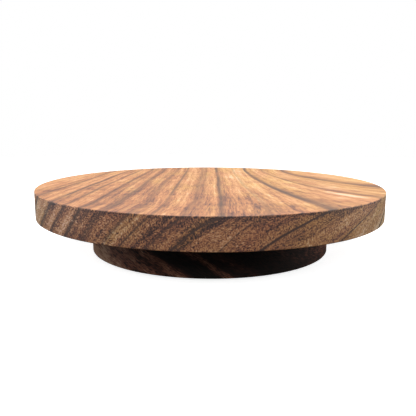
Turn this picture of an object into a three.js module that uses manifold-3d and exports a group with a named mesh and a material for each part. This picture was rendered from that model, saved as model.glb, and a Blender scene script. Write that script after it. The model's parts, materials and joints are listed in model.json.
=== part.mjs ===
// Lazy susan turntable: a solid wood disc that spins on a smaller wood base.
//
// The two boards are joined by a square stamped-steel turntable bearing. Its lower plate is screwed into a
// round recess in the base, its upper plate is screwed to the underside of the top, and an eyelet through
// both centres holds the plates together. A ring of caged balls runs between them. The bearing is thicker
// than the recess is deep, so a thin gap stays open between the boards. Four screwed rubber feet carry it.
//
// Units are millimetres, +Z is up, and the origin is on the resting surface, on the axis of rotation.
// The top's grain runs along Y.

import * as THREE from "three";
import { mergeVertices } from "three/addons/utils/BufferGeometryUtils.js";
import Module from "manifold-3d";

const wasm = await Module();
wasm.setup();

// ---- Driving dimensions -------------------------------------------------------------------------------

const TOP_DIAMETER = 300;
const TOP_THICKNESS = 23;
const BASE_DIAMETER = 209;
const TOTAL_HEIGHT = 57;
const BOARD_GAP = 3.5; // the open slit between the base and the top
const FOOT_PROUD = 2; // how far the feet stand out of the base
const ARRIS = 0.8; // radius of the softened edges on both boards

const BEARING_HEIGHT = 8;
const PLATE_SIDE = 102;
const PLATE_CORNER_RADIUS = 10;
const SHEET = 1.2; // thickness of the bearing plates
const PLATE_HOLE_RADIUS = 2.2;
const SCREW_OFFSET = 42.5; // the plate holes lie at plus and minus this in X and in Y
const EYE_HOLE_RADIUS = 14; // the hole in the middle of each plate

const BALL_COUNT = 18;
const BALL_RADIUS = 2.778;
const PITCH_RADIUS = 34; // from the axis to the centre of each ball
const POCKET_RADIUS = 3;
const RETAINER_WIDTH = 7.6;
const RETAINER_THICKNESS = 2;

const PRESSED_LAND_RISE = 1; // how far the sheet rises outside the ball groove
const PRESSED_MIDDLE_RISE = 1.6; // and inside it
const PRESSED_SLOPE = 1.4; // width of each slope between two levels
const PRESSED_LAND_WIDTH = 1.6;
const GROOVE_HALF_WIDTH = 2.6;
const JOIN = 1; // overlap of the pressed rings and the flange where they are made one piece

const EYELET_CLEARANCE = 0.4;
const EYELET_WALL = 1.2;
const EYELET_COLLAR_RADIUS = 17.5;
const EYELET_COLLAR_THICKNESS = 0.9;
const EYELET_RUNNING_GAP = 0.3; // between the lower plate and the collar that turns under it

const FOOT_COUNT = 4;
const FOOT_RADIUS = 8;
const FOOT_SOLE_RADIUS = 7.2;
const FOOT_TAPER_HEIGHT = 1.6; // the foot widens from its sole up to this height
const FOOT_CIRCLE_RADIUS = 88;
const FOOT_POCKET_DEPTH = 3;
const FOOT_POCKET_CLEARANCE = 0.4;
const FOOT_BORE_RADIUS = 1.9;
const FOOT_HEAD_RECESS_RADIUS = 4.2;
const FOOT_HEAD_RECESS_DEPTH = 2.4;

const ACCESS_HOLE_RADIUS = 7; // a screwdriver reaches the upper screws through it
const RECESS_CLEARANCE = 3.5; // around the lower plate's corners, at least
const PILOT_CLEARANCE = 0.3;
const PILOT_SPARE_DEPTH = 1;

const BOARD_SEGMENTS = 96;
const RACE_SEGMENTS = 54; // bearing plates and retainer
const EYELET_SEGMENTS = 36;
const FOOT_SEGMENTS = 20;
const HOLE_SEGMENTS = 12; // pilot holes, ball pockets and screws
const BALL_SEGMENTS = 10;
const BALL_ROWS = 7;
const ARC_STEPS = 2;
const PLATE_CORNER_SEGMENTS = 5;
const CUT_SPARE = 1; // how far the shape of a hole reaches past the face that it opens in

// ---- Worked out from them -----------------------------------------------------------------------------

const topUnderside = TOTAL_HEIGHT - TOP_THICKNESS;
const baseTop = topUnderside - BOARD_GAP;
const recessFloor = topUnderside - BEARING_HEIGHT;
const bearingMiddle = recessFloor + BEARING_HEIGHT / 2;
const plateCornerReach = Math.SQRT2 * (PLATE_SIDE / 2 - PLATE_CORNER_RADIUS) + PLATE_CORNER_RADIUS;
const recessRadius = Math.ceil(plateCornerReach + RECESS_CLEARANCE);
const screwCircleRadius = Math.SQRT2 * SCREW_OFFSET;

const plateScrew = { length: 16, shank: 1.75, head: 3.5, headHeight: 2.4, slot: 1.9 };
const footScrew = { length: 14, shank: 1.5, head: 3, headHeight: 1.7, slot: 1.6 };

// ---- Materials ----------------------------------------------------------------------------------------

const topWood = new THREE.MeshStandardMaterial({ color: 0xc48a58, roughness: 0.5, metalness: 0 });
const baseWood = new THREE.MeshStandardMaterial({ color: 0x4a3023, roughness: 0.55, metalness: 0 });
const zincSteel = new THREE.MeshStandardMaterial({ color: 0xa9abad, roughness: 0.4, metalness: 0.9 });
const screwSteel = new THREE.MeshStandardMaterial({ color: 0xb4b09c, roughness: 0.35, metalness: 0.9 });
const ballSteel = new THREE.MeshStandardMaterial({ color: 0xd0d2d4, roughness: 0.12, metalness: 1 });
const nylon = new THREE.MeshStandardMaterial({ color: 0xe2ddcf, roughness: 0.5, metalness: 0 });
const rubber = new THREE.MeshStandardMaterial({ color: 0x1c1c1d, roughness: 0.85, metalness: 0 });

// ---- Geometry helpers ---------------------------------------------------------------------------------

// A geometry's triangles as a manifold-3d solid.
function solidOf(geometry) {
  const bare = new THREE.BufferGeometry().setAttribute("position", geometry.getAttribute("position"));
  bare.setIndex(geometry.index);
  const merged = mergeVertices(bare, 1e-4);
  const index = merged.index.array;
  const kept = [];
  for (let i = 0; i < index.length; i += 3) {
    const [a, b, c] = [index[i], index[i + 1], index[i + 2]];
    if (a !== b && b !== c && c !== a) kept.push(a, b, c);
  }
  return new wasm.Manifold(
    new wasm.Mesh({
      numProp: 3,
      vertProperties: merged.getAttribute("position").array,
      triVerts: new Uint32Array(kept),
    }),
  );
}

// A manifold-3d solid as a geometry with flat faces.
function geometryOf(solid) {
  const { numProp, vertProperties, triVerts } = solid.getMesh();
  const position = new Float32Array((vertProperties.length / numProp) * 3);
  for (let i = 0; i < position.length / 3; i += 1) {
    position.set(vertProperties.subarray(i * numProp, i * numProp + 3), i * 3);
  }
  const indexed = new THREE.BufferGeometry();
  indexed.setAttribute("position", new THREE.BufferAttribute(position, 3));
  indexed.setIndex(new THREE.BufferAttribute(triVerts, 1));
  const flat = indexed.toNonIndexed();
  flat.computeVertexNormals();
  return flat;
}

// Turns a closed [radius, height] outline, listed anticlockwise with radius to the right, about Z.
function revolve(outline, segments) {
  const points = outline.map(([radius, height]) => new THREE.Vector2(radius, height));
  const onAxis = points[0].x === 0 && points[points.length - 1].x === 0;
  if (!onAxis) points.push(points[0].clone());
  return new THREE.LatheGeometry(points, segments).rotateX(Math.PI / 2);
}

function cylinder(radius, low, high, segments = HOLE_SEGMENTS) {
  const height = high - low;
  const shape = new THREE.CylinderGeometry(radius, radius, height, segments);
  return shape.rotateX(Math.PI / 2).translate(0, 0, low + height / 2);
}

// Points of a quarter circle about (radius, height), from one angle to another, in degrees.
function arc(radius, height, size, from, to) {
  const points = [];
  for (let i = 0; i <= ARC_STEPS; i += 1) {
    const angle = THREE.MathUtils.degToRad(from + ((to - from) * i) / ARC_STEPS);
    points.push([radius + size * Math.cos(angle), height + size * Math.sin(angle)]);
  }
  return points;
}

// The four corner points of a square pattern, with the given half side.
function cornersOf(offset) {
  const signs = [[1, 1], [-1, 1], [-1, -1], [1, -1]];
  return signs.map(([x, y]) => [x * offset, y * offset]);
}

// `count` points evenly spaced on a circle, the first one `start` degrees round from +X.
function pointsOnCircle(count, radius, start = 0) {
  return Array.from({ length: count }, (_, i) => {
    const angle = THREE.MathUtils.degToRad(start + (360 * i) / count);
    return [radius * Math.cos(angle), radius * Math.sin(angle)];
  });
}

function cut(body, tools) {
  return tools.reduce((left, tool) => left.subtract(solidOf(tool)), solidOf(body));
}

function pilotHoles(places, radius, low, high) {
  return places.map(([x, y]) => cylinder(radius, low, high).translate(x, y, 0));
}

function named(name, geometry, material) {
  const mesh = new THREE.Mesh(geometry, material);
  mesh.name = name;
  return mesh;
}

const plateScrewPlaces = cornersOf(SCREW_OFFSET);
const footPlaces = pointsOnCircle(FOOT_COUNT, FOOT_CIRCLE_RADIUS, 45);

// ---- Boards -------------------------------------------------------------------------------------------

function topBoard() {
  const radius = TOP_DIAMETER / 2;
  const disc = revolve(
    [
      [0, topUnderside],
      ...arc(radius - ARRIS, topUnderside + ARRIS, ARRIS, -90, 0),
      ...arc(radius - ARRIS, TOTAL_HEIGHT - ARRIS, ARRIS, 0, 90),
      [0, TOTAL_HEIGHT],
    ],
    BOARD_SEGMENTS,
  );
  const holeTop = topUnderside - SHEET + plateScrew.length + PILOT_SPARE_DEPTH;
  const holeRadius = plateScrew.shank + PILOT_CLEARANCE;
  const holes = pilotHoles(plateScrewPlaces, holeRadius, topUnderside - CUT_SPARE, holeTop);
  return geometryOf(cut(disc, holes));
}

function baseBoard() {
  const radius = BASE_DIAMETER / 2;
  const disc = revolve(
    [
      [0, FOOT_PROUD],
      ...arc(radius - ARRIS, FOOT_PROUD + ARRIS, ARRIS, -90, 0),
      ...arc(radius - ARRIS, baseTop - ARRIS, ARRIS, 0, 90),
      [recessRadius, baseTop],
      [recessRadius, recessFloor],
      [0, recessFloor],
    ],
    BOARD_SEGMENTS,
  );
  const plateHoleBottom = recessFloor + SHEET - plateScrew.length - PILOT_SPARE_DEPTH;
  const footHoleTop = FOOT_HEAD_RECESS_DEPTH + footScrew.length + PILOT_SPARE_DEPTH;
  const pocketTop = FOOT_PROUD + FOOT_POCKET_DEPTH;
  const pocketRadius = FOOT_RADIUS + FOOT_POCKET_CLEARANCE;
  const access = cylinder(ACCESS_HOLE_RADIUS, 0, TOTAL_HEIGHT, FOOT_SEGMENTS);
  const pockets = footPlaces.map(([x, y]) =>
    cylinder(pocketRadius, 0, pocketTop, FOOT_SEGMENTS).translate(x, y, 0),
  );
  const plateHoleRadius = plateScrew.shank + PILOT_CLEARANCE;
  const footHoleRadius = footScrew.shank + PILOT_CLEARANCE;
  return geometryOf(
    cut(disc, [
      access.translate(screwCircleRadius, 0, 0),
      ...pockets,
      ...pilotHoles(plateScrewPlaces, plateHoleRadius, plateHoleBottom, baseTop),
      ...pilotHoles(footPlaces, footHoleRadius, FOOT_PROUD, footHoleTop),
    ]),
  );
}

// ---- Bearing ------------------------------------------------------------------------------------------

function roundedSquare(side, cornerRadius) {
  const half = side / 2;
  const reach = half - cornerRadius;
  const shape = new THREE.Shape();
  shape.moveTo(half, -reach);
  shape.lineTo(half, reach);
  shape.absarc(reach, reach, cornerRadius, 0, Math.PI / 2);
  shape.lineTo(-reach, half);
  shape.absarc(-reach, reach, cornerRadius, Math.PI / 2, Math.PI);
  shape.lineTo(-half, -reach);
  shape.absarc(-reach, -reach, cornerRadius, Math.PI, 1.5 * Math.PI);
  shape.lineTo(reach, -half);
  shape.absarc(reach, -reach, cornerRadius, 1.5 * Math.PI, 2 * Math.PI);
  return shape;
}

// The plate lies with its mounting face on Z = 0. From the flat flange the sheet rises to a narrow land,
// drops into the ball groove and rises again to the middle, where the eyelet passes through.
function bearingPlate() {
  const grooveInner = PITCH_RADIUS - GROOVE_HALF_WIDTH;
  const grooveOuter = PITCH_RADIUS + GROOVE_HALF_WIDTH;
  const landInner = grooveOuter + PRESSED_SLOPE;
  const landOuter = landInner + PRESSED_LAND_WIDTH;
  const flangeInner = landOuter + PRESSED_SLOPE;
  const mountingSide = [
    [EYE_HOLE_RADIUS, PRESSED_MIDDLE_RISE],
    [grooveInner - PRESSED_SLOPE, PRESSED_MIDDLE_RISE],
    [grooveInner, 0],
    [grooveOuter, 0],
    [landInner, PRESSED_LAND_RISE],
    [landOuter, PRESSED_LAND_RISE],
    [flangeInner, 0],
    [flangeInner + 2 * JOIN, 0],
  ];
  const ballSide = mountingSide.map(([radius, rise]) => [radius, rise + SHEET]).reverse();
  const pressedRings = revolve([...mountingSide, ...ballSide], RACE_SEGMENTS);
  const square = new THREE.ExtrudeGeometry(roundedSquare(PLATE_SIDE, PLATE_CORNER_RADIUS), {
    depth: SHEET,
    bevelEnabled: false,
    curveSegments: PLATE_CORNER_SEGMENTS,
  });
  const opening = cylinder(flangeInner + JOIN, -CUT_SPARE, SHEET + CUT_SPARE, RACE_SEGMENTS);
  const holes = pilotHoles(plateScrewPlaces, PLATE_HOLE_RADIUS, -CUT_SPARE, SHEET + CUT_SPARE);
  return cut(square, [opening, ...holes]).add(solidOf(pressedRings));
}

// A hollow rivet. Its upper collar is clinched on the upper plate, its lower one runs free.
function eyelet() {
  const outer = EYE_HOLE_RADIUS - EYELET_CLEARANCE;
  const inner = outer - EYELET_WALL;
  const lowerCollarTop = recessFloor + PRESSED_MIDDLE_RISE - EYELET_RUNNING_GAP;
  const upperCollarBottom = topUnderside - PRESSED_MIDDLE_RISE;
  return revolve(
    [
      [inner, lowerCollarTop - EYELET_COLLAR_THICKNESS],
      [EYELET_COLLAR_RADIUS, lowerCollarTop - EYELET_COLLAR_THICKNESS],
      [EYELET_COLLAR_RADIUS, lowerCollarTop],
      [outer, lowerCollarTop],
      [outer, upperCollarBottom],
      [EYELET_COLLAR_RADIUS, upperCollarBottom],
      [EYELET_COLLAR_RADIUS, upperCollarBottom + EYELET_COLLAR_THICKNESS],
      [inner, upperCollarBottom + EYELET_COLLAR_THICKNESS],
    ],
    EYELET_SEGMENTS,
  );
}

function ballRetainer(ballPlaces) {
  const inner = PITCH_RADIUS - RETAINER_WIDTH / 2;
  const outer = PITCH_RADIUS + RETAINER_WIDTH / 2;
  const low = bearingMiddle - RETAINER_THICKNESS / 2;
  const high = bearingMiddle + RETAINER_THICKNESS / 2;
  const ring = revolve([[inner, low], [outer, low], [outer, high], [inner, high]], RACE_SEGMENTS);
  const pockets = pilotHoles(ballPlaces, POCKET_RADIUS, low - CUT_SPARE, high + CUT_SPARE);
  return geometryOf(cut(ring, pockets));
}

function ball([x, y]) {
  const sphere = new THREE.SphereGeometry(BALL_RADIUS, BALL_SEGMENTS, BALL_ROWS);
  return sphere.rotateX(Math.PI / 2).translate(x, y, bearingMiddle);
}

// ---- Screws and feet ----------------------------------------------------------------------------------

// A pan-head wood screw: the underside of its head is on Z = 0, its head is above and its point below.
function woodScrew({ length, shank, head, headHeight, slot }) {
  const pointLength = 2.2 * shank;
  const body = revolve(
    [
      [0, -length],
      [shank, pointLength - length],
      [shank, 0],
      [head, 0],
      [head, 0.5 * headHeight],
      [0.6 * head, headHeight],
      [0, headHeight],
    ],
    HOLE_SEGMENTS,
  );
  const slotWidth = 0.32 * slot;
  const slotDepth = 0.6 * headHeight;
  const crossSlot = [0, Math.PI / 2].map((turn) =>
    new THREE.BoxGeometry(2 * slot, slotWidth, 2 * slotDepth).rotateZ(turn).translate(0, 0, headHeight),
  );
  return geometryOf(cut(body, crossSlot));
}

// The sole is on Z = 0. The recess in it hides the head of the foot's screw.
function rubberFoot() {
  const height = FOOT_PROUD + FOOT_POCKET_DEPTH;
  return revolve(
    [
      [FOOT_HEAD_RECESS_RADIUS, 0],
      [FOOT_SOLE_RADIUS, 0],
      [FOOT_RADIUS, FOOT_TAPER_HEIGHT],
      [FOOT_RADIUS, height],
      [FOOT_BORE_RADIUS, height],
      [FOOT_BORE_RADIUS, FOOT_HEAD_RECESS_DEPTH],
      [FOOT_HEAD_RECESS_RADIUS, FOOT_HEAD_RECESS_DEPTH],
    ],
    FOOT_SEGMENTS,
  );
}

// ---- Assembly -----------------------------------------------------------------------------------------

// One mesh for each place, named PREFIX_1, PREFIX_2 and so on, all with the same geometry.
function copies(prefix, places, geometry, material, height, upright = true) {
  return places.map(([x, y], i) => {
    const mesh = named(`${prefix}_${i + 1}`, geometry, material);
    mesh.position.set(x, y, height);
    if (!upright) mesh.rotation.x = Math.PI;
    return mesh;
  });
}

function baseAssembly() {
  const group = new THREE.Group();
  const plate = named("lower_plate", geometryOf(bearingPlate()), zincSteel);
  plate.position.z = recessFloor;
  group.add(named("base_board", baseBoard(), baseWood), plate);
  const screw = woodScrew(plateScrew);
  group.add(...copies("lower_screw", plateScrewPlaces, screw, screwSteel, recessFloor + SHEET));
  group.add(...copies("foot", footPlaces, rubberFoot(), rubber, 0));
  const footScrewShape = woodScrew(footScrew);
  group.add(
    ...copies("foot_screw", footPlaces, footScrewShape, screwSteel, FOOT_HEAD_RECESS_DEPTH, false),
  );
  return group;
}

function ballCageAssembly() {
  const group = new THREE.Group();
  const ballPlaces = pointsOnCircle(BALL_COUNT, PITCH_RADIUS);
  group.add(named("ball_retainer", ballRetainer(ballPlaces), nylon));
  ballPlaces.forEach((place, i) => {
    const number = String(i + 1).padStart(2, "0");
    group.add(named(`ball_${number}`, ball(place), ballSteel));
  });
  return group;
}

function turntableAssembly() {
  const group = new THREE.Group();
  const plate = named("upper_plate", geometryOf(bearingPlate()), zincSteel);
  plate.rotation.x = Math.PI;
  plate.position.z = topUnderside;
  group.add(named("top_board", topBoard(), topWood), plate);
  group.add(named("centre_eyelet", eyelet(), zincSteel));
  const screw = woodScrew(plateScrew);
  const seat = topUnderside - SHEET;
  group.add(...copies("upper_screw", plateScrewPlaces, screw, screwSteel, seat, false));
  return group;
}

const lazySusan = new THREE.Group();
lazySusan.add(baseAssembly(), ballCageAssembly(), turntableAssembly());

export default lazySusan;
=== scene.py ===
"""The looks of a wooden lazy susan: two solid wood boards with a pressed-steel ball bearing between them.

Lengths are in millimetres where they are named, and MM turns them into Blender's metres. Every pattern
is computed from object coordinates. All meshes keep their place in their vertices, so these coordinates are
the object's own frame: X to the right, Y along the grain of the top and away from the viewer, Z up.
"""

import json
import math
import re

import bmesh
import bpy
from mathutils import Matrix, Vector


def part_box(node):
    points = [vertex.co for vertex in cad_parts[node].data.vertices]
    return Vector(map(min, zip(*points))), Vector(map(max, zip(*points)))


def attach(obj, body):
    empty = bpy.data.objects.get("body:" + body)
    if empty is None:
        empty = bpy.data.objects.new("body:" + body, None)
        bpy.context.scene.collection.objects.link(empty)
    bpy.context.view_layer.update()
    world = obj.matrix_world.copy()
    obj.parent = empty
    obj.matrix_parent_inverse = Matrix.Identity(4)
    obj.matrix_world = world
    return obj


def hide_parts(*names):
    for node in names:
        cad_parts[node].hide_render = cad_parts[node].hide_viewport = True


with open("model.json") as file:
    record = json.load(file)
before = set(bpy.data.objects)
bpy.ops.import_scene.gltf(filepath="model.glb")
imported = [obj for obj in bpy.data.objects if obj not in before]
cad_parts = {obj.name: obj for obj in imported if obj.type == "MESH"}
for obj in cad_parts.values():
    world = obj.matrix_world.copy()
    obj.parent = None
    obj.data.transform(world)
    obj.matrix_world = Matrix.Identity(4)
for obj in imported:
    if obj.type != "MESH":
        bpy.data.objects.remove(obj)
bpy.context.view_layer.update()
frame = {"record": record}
record = frame["record"]

MM = 0.001

# ---- Camera ----

FOCAL_LENGTH = 43.3
SENSOR_WIDTH = 36
CAMERA_TARGET = Vector((-1.7, 0, 34.7))
CAMERA_DISTANCE = 454.5
CAMERA_ELEVATION = 10.3
CAMERA_ROLL = 0.23

# ---- Light and floor ----

# Each studio light: its place, its size and its power in watts.
SOFTBOXES = {
    "overhead": ((60, 350, 1200), 1200, 17),
    "front": ((-80, -950, 800), 700, 9),
    "left_side": ((-1200, 100, 420), 700, 6),
    "right_side": ((1200, 100, 420), 700, 6),
}
# The light of the sky, by the height of a direction: -1 is straight down and 1 is straight up.
SKY = {"From Min": -0.1, "From Max": 0.5, "To Min": 0.02, "To Max": 0.35}
FLOOR_RADIUS = 1500
FLOOR_FADE = (350, 1200)  # the distances from the axis where the floor starts to fade and is gone
FLOOR_GREY = 0.8
FLOOR_GLOW = 0.82

# ---- Shapes, beyond the places and outer sizes that the CAD parts give ----

BOARD_SEGMENTS = 288
ARRIS = 0.9  # radius of the softened edges on both boards
RECESS_RADIUS = 72  # the round recess in the base that takes the bearing
ACCESS_HOLE_RADIUS = 7
HOLE_ARRIS = 0.4  # width of the softened edge around each hole's mouth
DRILL_POINT = 0.3  # height of a drilled hole's pointed end, as a share of its diameter
PILOT_CLEARANCE = 0.3
PILOT_SPARE_DEPTH = 1
FOOT_POCKET_CLEARANCE = 0.4
CUT_MARGIN = 1  # how far a cutter reaches past the surface that it opens
HOLE_SEGMENTS = 48
WIDE_HOLE_SEGMENTS = 96  # for the access hole and the feet's pockets

PLATE_SEGMENTS = 240
SHEET = 1.2  # thickness of the bearing plates
PLATE_CORNER_RADIUS = 10
PLATE_HOLE_RADIUS = 2.2
EYE_HOLE_RADIUS = 14
PRESSED_LAND_RISE = 1  # how far the sheet stands off the board outside the ball groove
PRESSED_MIDDLE_RISE = 1.6  # and inside it
GROOVE_HALF_WIDTH = 2.6
PRESSED_SLOPE = 1.4
PRESSED_LAND_WIDTH = 1.6
SHEET_EDGE = 0.25  # fillet of the sheet's cut edges
PLATE_RIM = 1  # width of the flat strip along a plate's outline

RING_SEGMENTS = 216
EYELET_WALL = 1.2
EYELET_CLEARANCE = 0.4
EYELET_COLLAR_THICKNESS = 0.9
EYELET_MOUTH = 0.9  # fillet where its bore opens
EYELET_CORNER = 0.3  # fillet between its wall and its collars
RETAINER_EDGE = 0.4
POCKET_RADIUS = 3
POCKET_BEVEL = 0.3
CORE_RADIUS = 1.5  # shallow moulded hollows between the ball pockets
CORE_DEPTH = 0.5
CORE_DRAFT = 0.2  # how much wider a core is above the ring than in it
CORE_SEGMENTS = 32

SCREW_SEGMENTS = 32
SCREW_TURN_STEP = 37  # degrees from one screw's slots to the next one's, as if driven home by hand
THREAD_ROWS = 10  # for each turn of the thread
THREAD_DEPTH = 0.3  # as a share of the shank's radius
THREAD_SHARPNESS = 6  # power of the cosine that makes the ridge
NECK_LENGTH = 0.12  # as a share of the screw's length
NECK_RADIUS = 0.95  # as a share of the shank's radius
TAPER_LENGTH = 2.2  # of the point, as a share of the shank's radius
SLOT_LENGTH = 2  # as a share of the named slot size, as is the next
SLOT_WIDTH = 0.42
SLOT_NARROWING = 0.45  # of the cross slot's bottom against its top
SLOT_BOTTOM = 0.35  # as a share of the head's height, as is the next
SLOT_TOP = 1.05
PLATE_SCREW = {"shank": 1.75, "head": 3.5, "head_height": 2.4, "slot": 1.9, "pitch": 1.8}
FOOT_SCREW = {"shank": 1.5, "head": 3, "head_height": 1.7, "slot": 1.6, "pitch": 1.6}

FOOT_SEGMENTS = 64
FOOT_SOLE_RADIUS = 7.2
FOOT_HEAD_RECESS_RADIUS = 4.2
FOOT_HEAD_RECESS_DEPTH = 2.4
FOOT_BORE_RADIUS = 1.9
FOOT_CHAMFER_HEIGHT = 1.6
SOLE_GROOVE_GAP = 0.9  # from the head's recess to the round groove in the sole
SOLE_GROOVE_WIDTH = 0.9
SOLE_GROOVE_DEPTH = 0.4
SOLE_GROOVE_SLOPE = 0.2
FOOT_FINE_EDGE = 0.15

# ---- Wood pattern of the top ----
# Places are across the grain, in millimetres from the middle, as they lie at the back of the board.

GRAIN_FOCUS = 8  # the straight line that the grain fans out from, to both sides
FAN_START = 110  # how far back the fan begins
FAN_UNIT = 100  # the fan's numbers below take distances in this unit
LEFT_FAN = 0.10  # by how much of its width the left half spreads over the first unit forward
LEFT_FAN_SPREAD = 0.3  # how much more it does so one unit to the left
LEFT_FAN_POWER = 0.8  # how its spread grows on the way forward
RIGHT_FAN = 0.51  # the same for the right half, one unit to the right
RIGHT_FAN_POWER = 1.4
RIGHT_FAN_OUT_POWER = 0.75  # and how that grows on the way to the right
GRAIN_WAVER = 4  # how far the grain wanders sideways, all in all
FRONT_DRIFT = 5  # how far the grain bends to the left by the time it reaches the front edge
DRIFT_Y = (-100, -150)  # where that bend starts and ends
STEADY_WIDTH = 14  # around the focus the grain doesn't bend, and this far out it mostly does
LEAST_RING_LEAN = 0.6  # how far a growth ring moves sideways for each millimetre of depth, far to the left
RING_LEAN_RISE = 0.8  # what is added to that in the middle
RING_LEAN_GROWTH = 70  # the added part grows by a factor e over this distance to the right
RIGHT_RING_LEAN = 0.8  # what the right side adds to that
RIGHT_LEAN_X = (-15, 60)  # where that addition starts and is full

# How light the wood is, from 0 to 1, by its place across the grain, on the face and on the rim.
FACE_TONES = [
    (-120, 0.72),
    (-102, 0.56),
    (-94, 0.70),
    (-85, 0.57),
    (-72, 0.68),
    (-65, 0.50),
    (-57, 0.62),
    (-50, 0.46),
    (-45, 0.60),
    (-36, 0.50),
    (-29, 0.62),
    (-24, 0.56),
    (-17, 0.70),
    (-8, 0.53),
    (-3, 0.59),
    (3, 0.66),
    (9, 0.54),
    (20, 0.73),
    (33, 0.75),
    (41, 0.56),
    (50, 0.71),
    (59, 0.60),
    (69, 0.70),
    (81, 0.54),
    (97, 0.74),
    (112, 0.82),
]
RIM_TONES = [
    (-135, 0.62),
    (-115, 0.78),
    (-93, 0.95),
    (-85, 0.50),
    (-80, 0.86),
    (-76, 0.46),
    (-70, 0.80),
    (-62, 0.48),
    (-53, 0.44),
    (-45, 0.60),
    (-40, 0.48),
    (-31, 0.70),
    (-25, 0.47),
    (-21, 0.56),
    (-15, 0.37),
    (-10, 0.37),
    (-1, 0.57),
    (10, 0.25),
    (16, 0.52),
    (26, 0.57),
    (32, 0.42),
    (37, 0.56),
    (43, 0.44),
    (50, 0.67),
    (57, 0.60),
    (63, 0.84),
    (70, 0.66),
    (78, 0.90),
    (96, 0.72),
    (112, 0.84),
    (135, 0.64),
]
# Each dark line: its place and width across the grain, and its strength.
DARK_LINES = [
    (-102, 1.1, 0.70),
    (-88, 1.2, 0.95),
    (-77.5, 1.1, 0.70),
    (-65, 1.5, 0.65),
    (-60, 1.0, 0.35),
    (-51.5, 1.6, 0.65),
    (-42, 0.9, 0.25),
    (-36, 1.4, 0.45),
    (-24.5, 0.8, 0.80),
    (-8, 1.5, 0.45),
    (-4, 1.0, 0.30),
    (7.3, 1.2, 0.85),
    (26, 0.7, 0.35),
    (39.5, 1.0, 0.95),
    (58, 1.0, 0.45),
    (80, 2.0, 0.75),
]
# Darker patches on the front of the face: the place and width across the grain, the Y where it starts and
# the Y where it is full, and its strength.
FRONT_PATCHES = [
    (19, 14, -20, -90, 0.16),
    (30, 5, -90, -115, 0.15),
]
FLECK = {"across": 54.5, "y": -66, "width": 1.5, "length": 15, "strength": 0.55}  # a pale fleck on the face

# How much each kind of figure lightens and darkens the wood, and painted shade darkens it.
STREAK_CONTRAST = 1.1
CLOUD_CONTRAST = 0.4
RIPPLE_CONTRAST = 0.3
RIBBON_CONTRAST = 0.05
FIBRE_CONTRAST = 0.85
LEFT_RIM_CONTRAST = 2.55  # of the fine speckle on the rim
RIGHT_RIM_CONTRAST = 1.95
FACE_PORE_DARKNESS = 0.15
RIM_PORE_DARKNESS = 0.25
# Painted shade: the tone falls off towards the front and the left, as the light does.
PAINTED_FRONT_SHADE = 0.07
PAINTED_LEFT_SHADE = 0.04
RIM_TOP_SHADE = 0.12  # the rim grows lighter by this much on its way down
EDGE_SHADE = 0.15  # of a thin strip under the rim's upper edge
EDGE_SHADE_DEPTH = 1.2
EDGE_SHADE_WIDTH = 0.8
RIBBON_SPACING = 5.61  # from one faint regular ribbon to the next
RIBBON_WANDER = 7  # how far they wander, in radians of their wave

HUE_SHIFT_RIGHT = 0.15  # how much more golden the wood is on the right than on the left
HUE_SHIFT_FRONT = 0.1  # and how much pinker it is at the front

LINE_STREAKS = 1.4  # how much the streaks break up the dark lines
FACE_LINE_GRAIN = 1.5  # how much the fine speckle does that on the face
RIM_LINE_GRAIN = -3  # and on the rim, where the light pores break the lines
LEAST_SOFT_SIDE = 1.2  # a line fades this much more slowly to its right than to its left
MOST_SOFT_SIDE = 2.4  # and this much on the face's right half
RIM_LINE_NARROWING = 0.6  # how much narrower a line is on the rim's right end
RIM_LINE_STRENGTH = 0.4  # how much stronger a line is on the rim
RIGHT_RIM_LINE_STRENGTH = 0.7  # and what its right end adds to that
RIM_LINE_DEEPENING = 0.45  # how far a line on the rim goes on to the darkest wood colour

WOOD_COLOURS = [
    (0.0, (0.060, 0.040, 0.036)),
    (0.25, (0.20, 0.102, 0.068)),
    (0.5, (0.44, 0.208, 0.094)),
    (0.7, (0.59, 0.310, 0.134)),
    (0.88, (0.70, 0.430, 0.220)),
    (1.0, (0.79, 0.560, 0.350)),
]
LINE_COLOUR = (0.125, 0.076, 0.057)
PINK_TINT = (0.98, 0.91, 0.97)
GOLD_TINT = (1.0, 1.03, 0.90)
END_TINT = (0.78, 0.73, 0.76)
# Painted sheen: the rim is greyer where it faces left and right, like a reflection of white surroundings.
PAINTED_SHEEN_TINT = (1.0, 1.13, 1.35)

# ---- Wood pattern of the base ----

BASE_RING_LEAN = 1.6
BASE_WAVER = 16
BASE_PATCH_CONTRAST = 3.2
BASE_FIBRE_CONTRAST = 2.5
BASE_FIBRE_TONE = 0.3
# Base tones across the grain: dark wood, with painted shade in the middle and painted side light on the
# ends.
BASE_WOOD_AND_PAINTED_LIGHT_TONES = [
    (-105, 0.95),
    (-90, 0.76),
    (-77, 0.36),
    (-65, 0.52),
    (-55, 0.24),
    (-44, 0.54),
    (-32, 0.02),
    (-15, 0.04),
    (-8, 0.44),
    (2, 0.06),
    (12, 0.16),
    (24, 0.03),
    (40, 0.05),
    (60, 0.18),
    (84, 0.34),
    (105, 0.75),
]
BASE_COLOURS = [
    (0.0, (0.009, 0.0075, 0.007)),
    (0.25, (0.062, 0.024, 0.017)),
    (0.5, (0.23, 0.086, 0.052)),
    (1.0, (0.41, 0.25, 0.16)),
]


# ---- Node building ------------------------------------------------------------------------------------


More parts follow.
